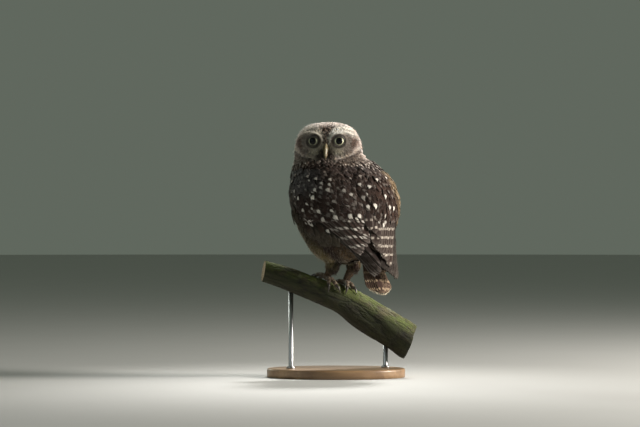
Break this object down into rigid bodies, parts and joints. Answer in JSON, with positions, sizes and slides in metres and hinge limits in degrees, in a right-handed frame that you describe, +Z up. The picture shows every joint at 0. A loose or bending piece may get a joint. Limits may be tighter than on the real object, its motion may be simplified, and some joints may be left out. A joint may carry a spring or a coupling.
{
  "type": "juvenile little owl model",
  "caption": "Young little owl standing on a short sloping branch, body turned away and head looking back, on a plain oval display stand.",
  "frame": {"origin": "centre of the stand base's flat underside", "axes": "+Z up; the owl's back and turned head face -Y; +X is to the viewer's right, the way the branch slopes down"},
  "size_m": [0.1688, 0.1216, 0.2801],
  "materials": {
    "head_feathers": "soft feathers, greyish brown",
    "back_feathers": "feathers, dark brown with white spots",
    "belly_down": "loose down, olive brown to off-white",
    "tail_feathers": "feathers, reddish brown with pale bars",
    "eye": "clear and wet, pale yellow iris",
    "bill_horn": "smooth horn, pale yellow",
    "leg_skin": "bristly skin, reddish brown",
    "claw_horn": "smooth horn, nearly black",
    "weathered_wood": "weathered and furrowed, with green algae",
    "base_wood": "satin varnish",
    "rod_steel": "satin"
  },
  "bodies": {
    "root": {"head": "head_feathers", "neck": "back_feathers", "torso": "back_feathers", "eye_left": "eye", "eye_right": "eye", "bill_upper": "bill_horn", "bill_lower": "bill_horn", "wing_left": "back_feathers", "wing_right": "back_feathers", "tail": "tail_feathers", "thigh_left": "belly_down", "thigh_right": "belly_down", "shank_left": "leg_skin", "shank_right": "leg_skin", "foot_left": "leg_skin", "foot_right": "leg_skin", "claw_left_1": "claw_horn", "claw_left_2": "claw_horn", "claw_left_3": "claw_horn", "claw_left_4": "claw_horn", "claw_right_1": "claw_horn", "claw_right_2": "claw_horn", "claw_right_3": "claw_horn", "claw_right_4": "claw_horn", "perch_branch": "weathered_wood", "stand_base": "base_wood", "stand_rod_left": "rod_steel", "stand_rod_right": "rod_steel"}
  },
  "joints": []
}
